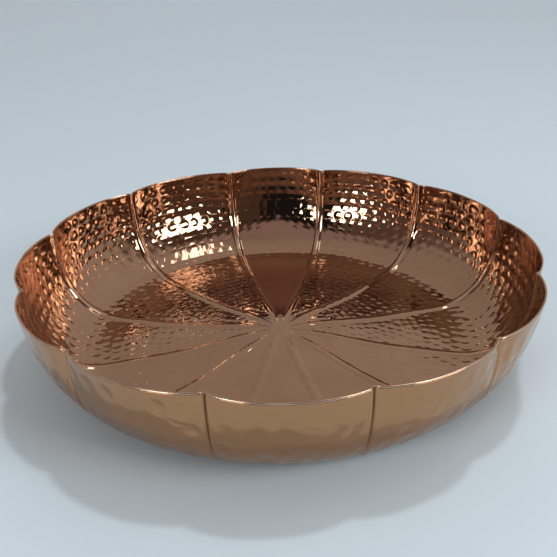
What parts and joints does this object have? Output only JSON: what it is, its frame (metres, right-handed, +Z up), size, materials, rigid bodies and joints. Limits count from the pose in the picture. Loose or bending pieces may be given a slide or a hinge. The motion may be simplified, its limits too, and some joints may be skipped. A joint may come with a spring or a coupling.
{
  "type": "scalloped tray",
  "caption": "Round hammered copper serving tray with a deep scalloped wall, chased ribs meeting at the middle of the floor, and a wired edge.",
  "frame": {"origin": "On the tray's axis, in the plane of the flat ring that it stands on.", "axes": "+Z is up along the tray's axis. +X points through the middle of a lobe."},
  "size_m": [0.3324, 0.3324, 0.064],
  "materials": {
    "hammered_copper": "hand-hammered, polished sheet copper",
    "wire_copper": "polished copper wire"
  },
  "bodies": {
    "root": {"tray_bowl": "hammered_copper", "rim_wire": "wire_copper"}
  },
  "joints": []
}
